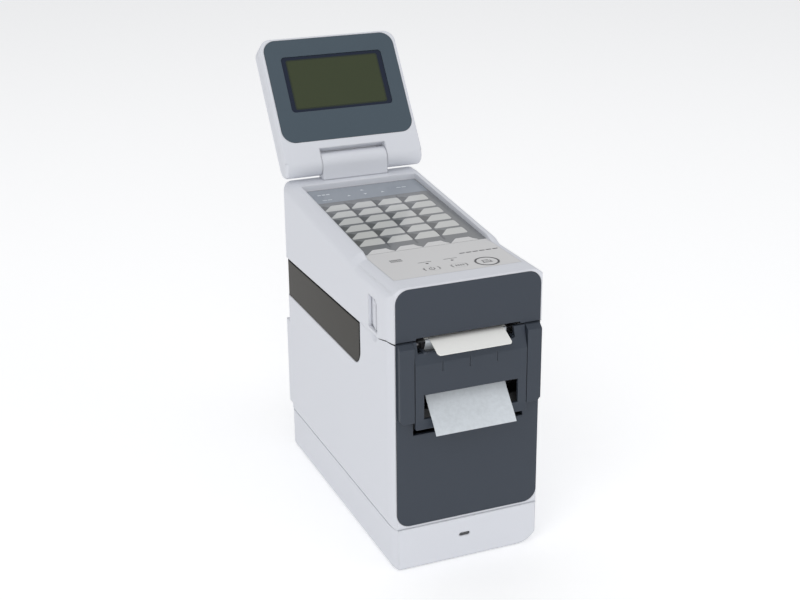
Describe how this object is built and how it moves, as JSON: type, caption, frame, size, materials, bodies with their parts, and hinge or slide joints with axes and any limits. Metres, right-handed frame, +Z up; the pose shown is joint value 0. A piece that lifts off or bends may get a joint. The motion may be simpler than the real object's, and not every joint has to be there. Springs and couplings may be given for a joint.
{
  "type": "label maker",
  "caption": "Desktop label printer with hinged top cover, fold-up display, touch panel, peeler and battery base, loaded with a label roll.",
  "frame": {"origin": "on the table, at the centre of the object's overall footprint", "axes": "+Z up, the labels come out of the front towards -Y, +X is the printer's right-hand side seen from the front"},
  "size_m": [0.11, 0.2886, 0.3152],
  "materials": {
    "body_plastic": "satin bluish-white moulded plastic",
    "dark_plastic": "fine-textured dark grey moulded plastic",
    "black_plastic": "matte black moulded plastic",
    "guide_plastic": "grey moulded plastic",
    "smoked_window": "smoked translucent plastic",
    "display_bezel": "blue-grey satin plastic",
    "display_window": "gloss clear plastic with a dark printed border",
    "lcd_glass": "olive liquid crystal glass",
    "touch_glass": "gloss glass printed from behind",
    "fascia_film": "matte printed film",
    "light_pipe": "dark translucent plastic",
    "bearing_plastic": "natural acetal",
    "gear_plastic": "natural acetal",
    "rubber": "matte moulded rubber",
    "platen_rubber": "ground silicone rubber",
    "steel": "bright steel",
    "plated_steel": "nickel-plated sheet steel",
    "brass": "turned brass",
    "circuit_board": "green solder mask",
    "cardboard": "plain board tube",
    "label_paper": "smooth coated label paper",
    "liner_paper": "glossy backing paper"
  },
  "bodies": {
    "chassis": {"rubber_feet": "rubber", "base_tray": "body_plastic", "base_indicator": "light_pipe", "lower_case": "body_plastic", "front_panel": "dark_plastic", "side_windows": "smoked_window", "rear_housing": "body_plastic", "dc_jack": "black_plastic", "usb_port": "plated_steel", "lan_port": "black_plastic", "serial_port": "plated_steel", "main_board": "circuit_board", "inner_frame": "black_plastic", "platen_bearings": "bearing_plastic", "stepper_motor": "steel", "peel_bar": "steel", "catch_pins": "steel", "guide_rail": "black_plastic", "label_web": "label_paper", "front_label": "label_paper", "liner_strip": "liner_paper", "peeler_arm_left": "dark_plastic", "peeler_arm_right": "dark_plastic", "cover_hinge_pins": "steel"},
    "battery": {"battery_pack": "dark_plastic"},
    "platen": {"platen_shaft": "steel", "platen_rubber": "platen_rubber", "platen_gear": "gear_plastic"},
    "idler": {"idler_gear": "gear_plastic"},
    "motor_rotor": {"motor_pinion": "brass", "motor_shaft": "steel"},
    "roll": {"roll_core": "cardboard", "label_roll": "label_paper"},
    "guide_left": {"roll_guide_left": "guide_plastic"},
    "guide_right": {"roll_guide_right": "guide_plastic"},
    "guide_drive": {"guide_pinion": "gear_plastic"},
    "peeler_door": {"peeler_cover": "dark_plastic"},
    "nip_roller": {"peel_roller": "platen_rubber", "peel_roller_shaft": "steel"},
    "cover": {"top_cover": "body_plastic", "cover_front_panel": "dark_plastic", "touch_panel": "touch_glass", "fascia_film": "fascia_film", "status_lights": "light_pipe", "key_board": "circuit_board", "hinge_neck": "body_plastic", "display_pin": "steel"},
    "head": {"head_carrier": "steel", "print_head": "black_plastic"},
    "release_latch": {"latch_shaft": "steel", "release_lever_left": "body_plastic", "release_lever_right": "body_plastic"},
    "print_key": {"print_button": "fascia_film"},
    "feed_key": {"feed_button": "fascia_film"},
    "power_key": {"power_button": "fascia_film"},
    "display": {"display_front_shell": "body_plastic", "display_rear_shell": "body_plastic", "display_bezel": "display_bezel", "display_window": "display_window", "lcd_module": "lcd_glass"}
  },
  "joints": [
    {"name": "cover_hinge", "type": "hinge", "parent": "chassis", "child": "cover", "pos_m": [0, 0.0813, 0.1616], "axis": [-1, 0, 0], "range_deg": [0, 80]},
    {"name": "display_hinge", "type": "hinge", "parent": "cover", "child": "display", "pos_m": [0, 0.0805, 0.2284], "axis": [1, 0, 0], "range_deg": [-15, 130.3]},
    {"name": "latch_pull", "type": "hinge", "parent": "cover", "child": "release_latch", "pos_m": [0, -0.0975, 0.193], "axis": [-1, 0, 0], "range_deg": [0, 4], "stiffness_Nm_per_rad": 0.6},
    {"name": "head_rock", "type": "hinge", "parent": "cover", "child": "head", "pos_m": [0, -0.1005, 0.1735], "axis": [-1, 0, 0], "range_deg": [0, 3], "stiffness_Nm_per_rad": 1},
    {"name": "print_press", "type": "slide", "parent": "cover", "child": "print_key", "axis": [0, 0, -1], "range_m": [0, 0.0006], "stiffness_N_per_m": 800},
    {"name": "feed_press", "type": "slide", "parent": "cover", "child": "feed_key", "axis": [0, 0, -1], "range_m": [0, 0.0006], "stiffness_N_per_m": 800},
    {"name": "power_press", "type": "slide", "parent": "cover", "child": "power_key", "axis": [0, 0, -1], "range_m": [0, 0.0006], "stiffness_N_per_m": 800},
    {"name": "platen_spin", "type": "hinge", "parent": "chassis", "child": "platen", "pos_m": [0, -0.1175, 0.1575], "axis": [1, 0, 0], "continuous": true},
    {"name": "idler_spin", "type": "hinge", "parent": "chassis", "child": "idler", "pos_m": [0, -0.10625, 0.13808], "axis": [1, 0, 0], "continuous": true},
    {"name": "motor_spin", "type": "hinge", "parent": "chassis", "child": "motor_rotor", "pos_m": [0, -0.0905, 0.127], "axis": [1, 0, 0], "continuous": true},
    {"name": "peeler_door", "type": "hinge", "parent": "chassis", "child": "peeler_door", "pos_m": [0, -0.1328, 0.113], "axis": [1, 0, 0], "range_deg": [0, 70]},
    {"name": "nip_roller_spin", "type": "hinge", "parent": "peeler_door", "child": "nip_roller", "pos_m": [0, -0.12562, 0.15116], "axis": [1, 0, 0], "continuous": true},
    {"name": "roll_spin", "type": "hinge", "parent": "chassis", "child": "roll", "pos_m": [0, -0.0055, 0.11], "axis": [1, 0, 0], "continuous": true},
    {"name": "guide_right_slide", "type": "slide", "parent": "chassis", "child": "guide_right", "axis": [1, 0, 0], "range_m": [0, 0.008]},
    {"name": "guide_left_slide", "type": "slide", "parent": "chassis", "child": "guide_left", "axis": [-1, 0, 0], "range_m": [0, 0.008]},
    {"name": "guide_pinion_turn", "type": "hinge", "parent": "chassis", "child": "guide_drive", "pos_m": [0, -0.0055, 0.0525], "axis": [0, 0, 1], "range_deg": [0, 65.48]},
    {"name": "battery_slide", "type": "slide", "parent": "chassis", "child": "battery", "axis": [0, 1, 0], "range_m": [0, 0.15]}
  ],
  "couplings": [
    {"joint": "idler_spin", "follows": "platen_spin", "ratio": -0.55556},
    {"joint": "motor_spin", "follows": "platen_spin", "ratio": 1.6667},
    {"joint": "guide_left_slide", "follows": "guide_right_slide", "ratio": 1},
    {"joint": "guide_pinion_turn", "follows": "guide_right_slide", "rad_per_m": 142.86}
  ]
}
